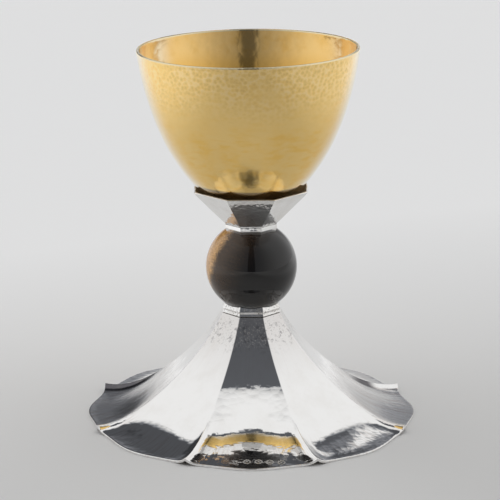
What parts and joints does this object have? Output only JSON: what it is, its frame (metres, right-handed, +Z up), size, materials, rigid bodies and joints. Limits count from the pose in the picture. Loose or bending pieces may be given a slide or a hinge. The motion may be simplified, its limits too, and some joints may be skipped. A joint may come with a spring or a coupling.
{
  "type": "chalice",
  "caption": "Footed chalice: deep gilt bowl with a hammered rim, held in a faceted silver calyx on a polished stone ball and a flared silver foot of ridged, petal-edged gores.",
  "frame": {"origin": "on the table, under the middle of the foot", "axes": "+Z up the stem to the bowl; the front gore of the foot and the front facet of the calyx face -Y; the bowl leans slightly to -X"},
  "size_m": [0.1464, 0.1464, 0.167],
  "materials": {
    "gilt": "satin gilding over fine hammer marks, brighter inside",
    "silver": "polished silver with a faintly wavy, hand-raised surface",
    "stone": "polished dark brown stone with a golden silky band"
  },
  "bodies": {
    "root": {"bowl": "gilt", "calyx": "silver", "calyx_ring": "silver", "stone_knop": "stone", "neck_ring": "silver", "foot": "silver"}
  },
  "joints": []
}
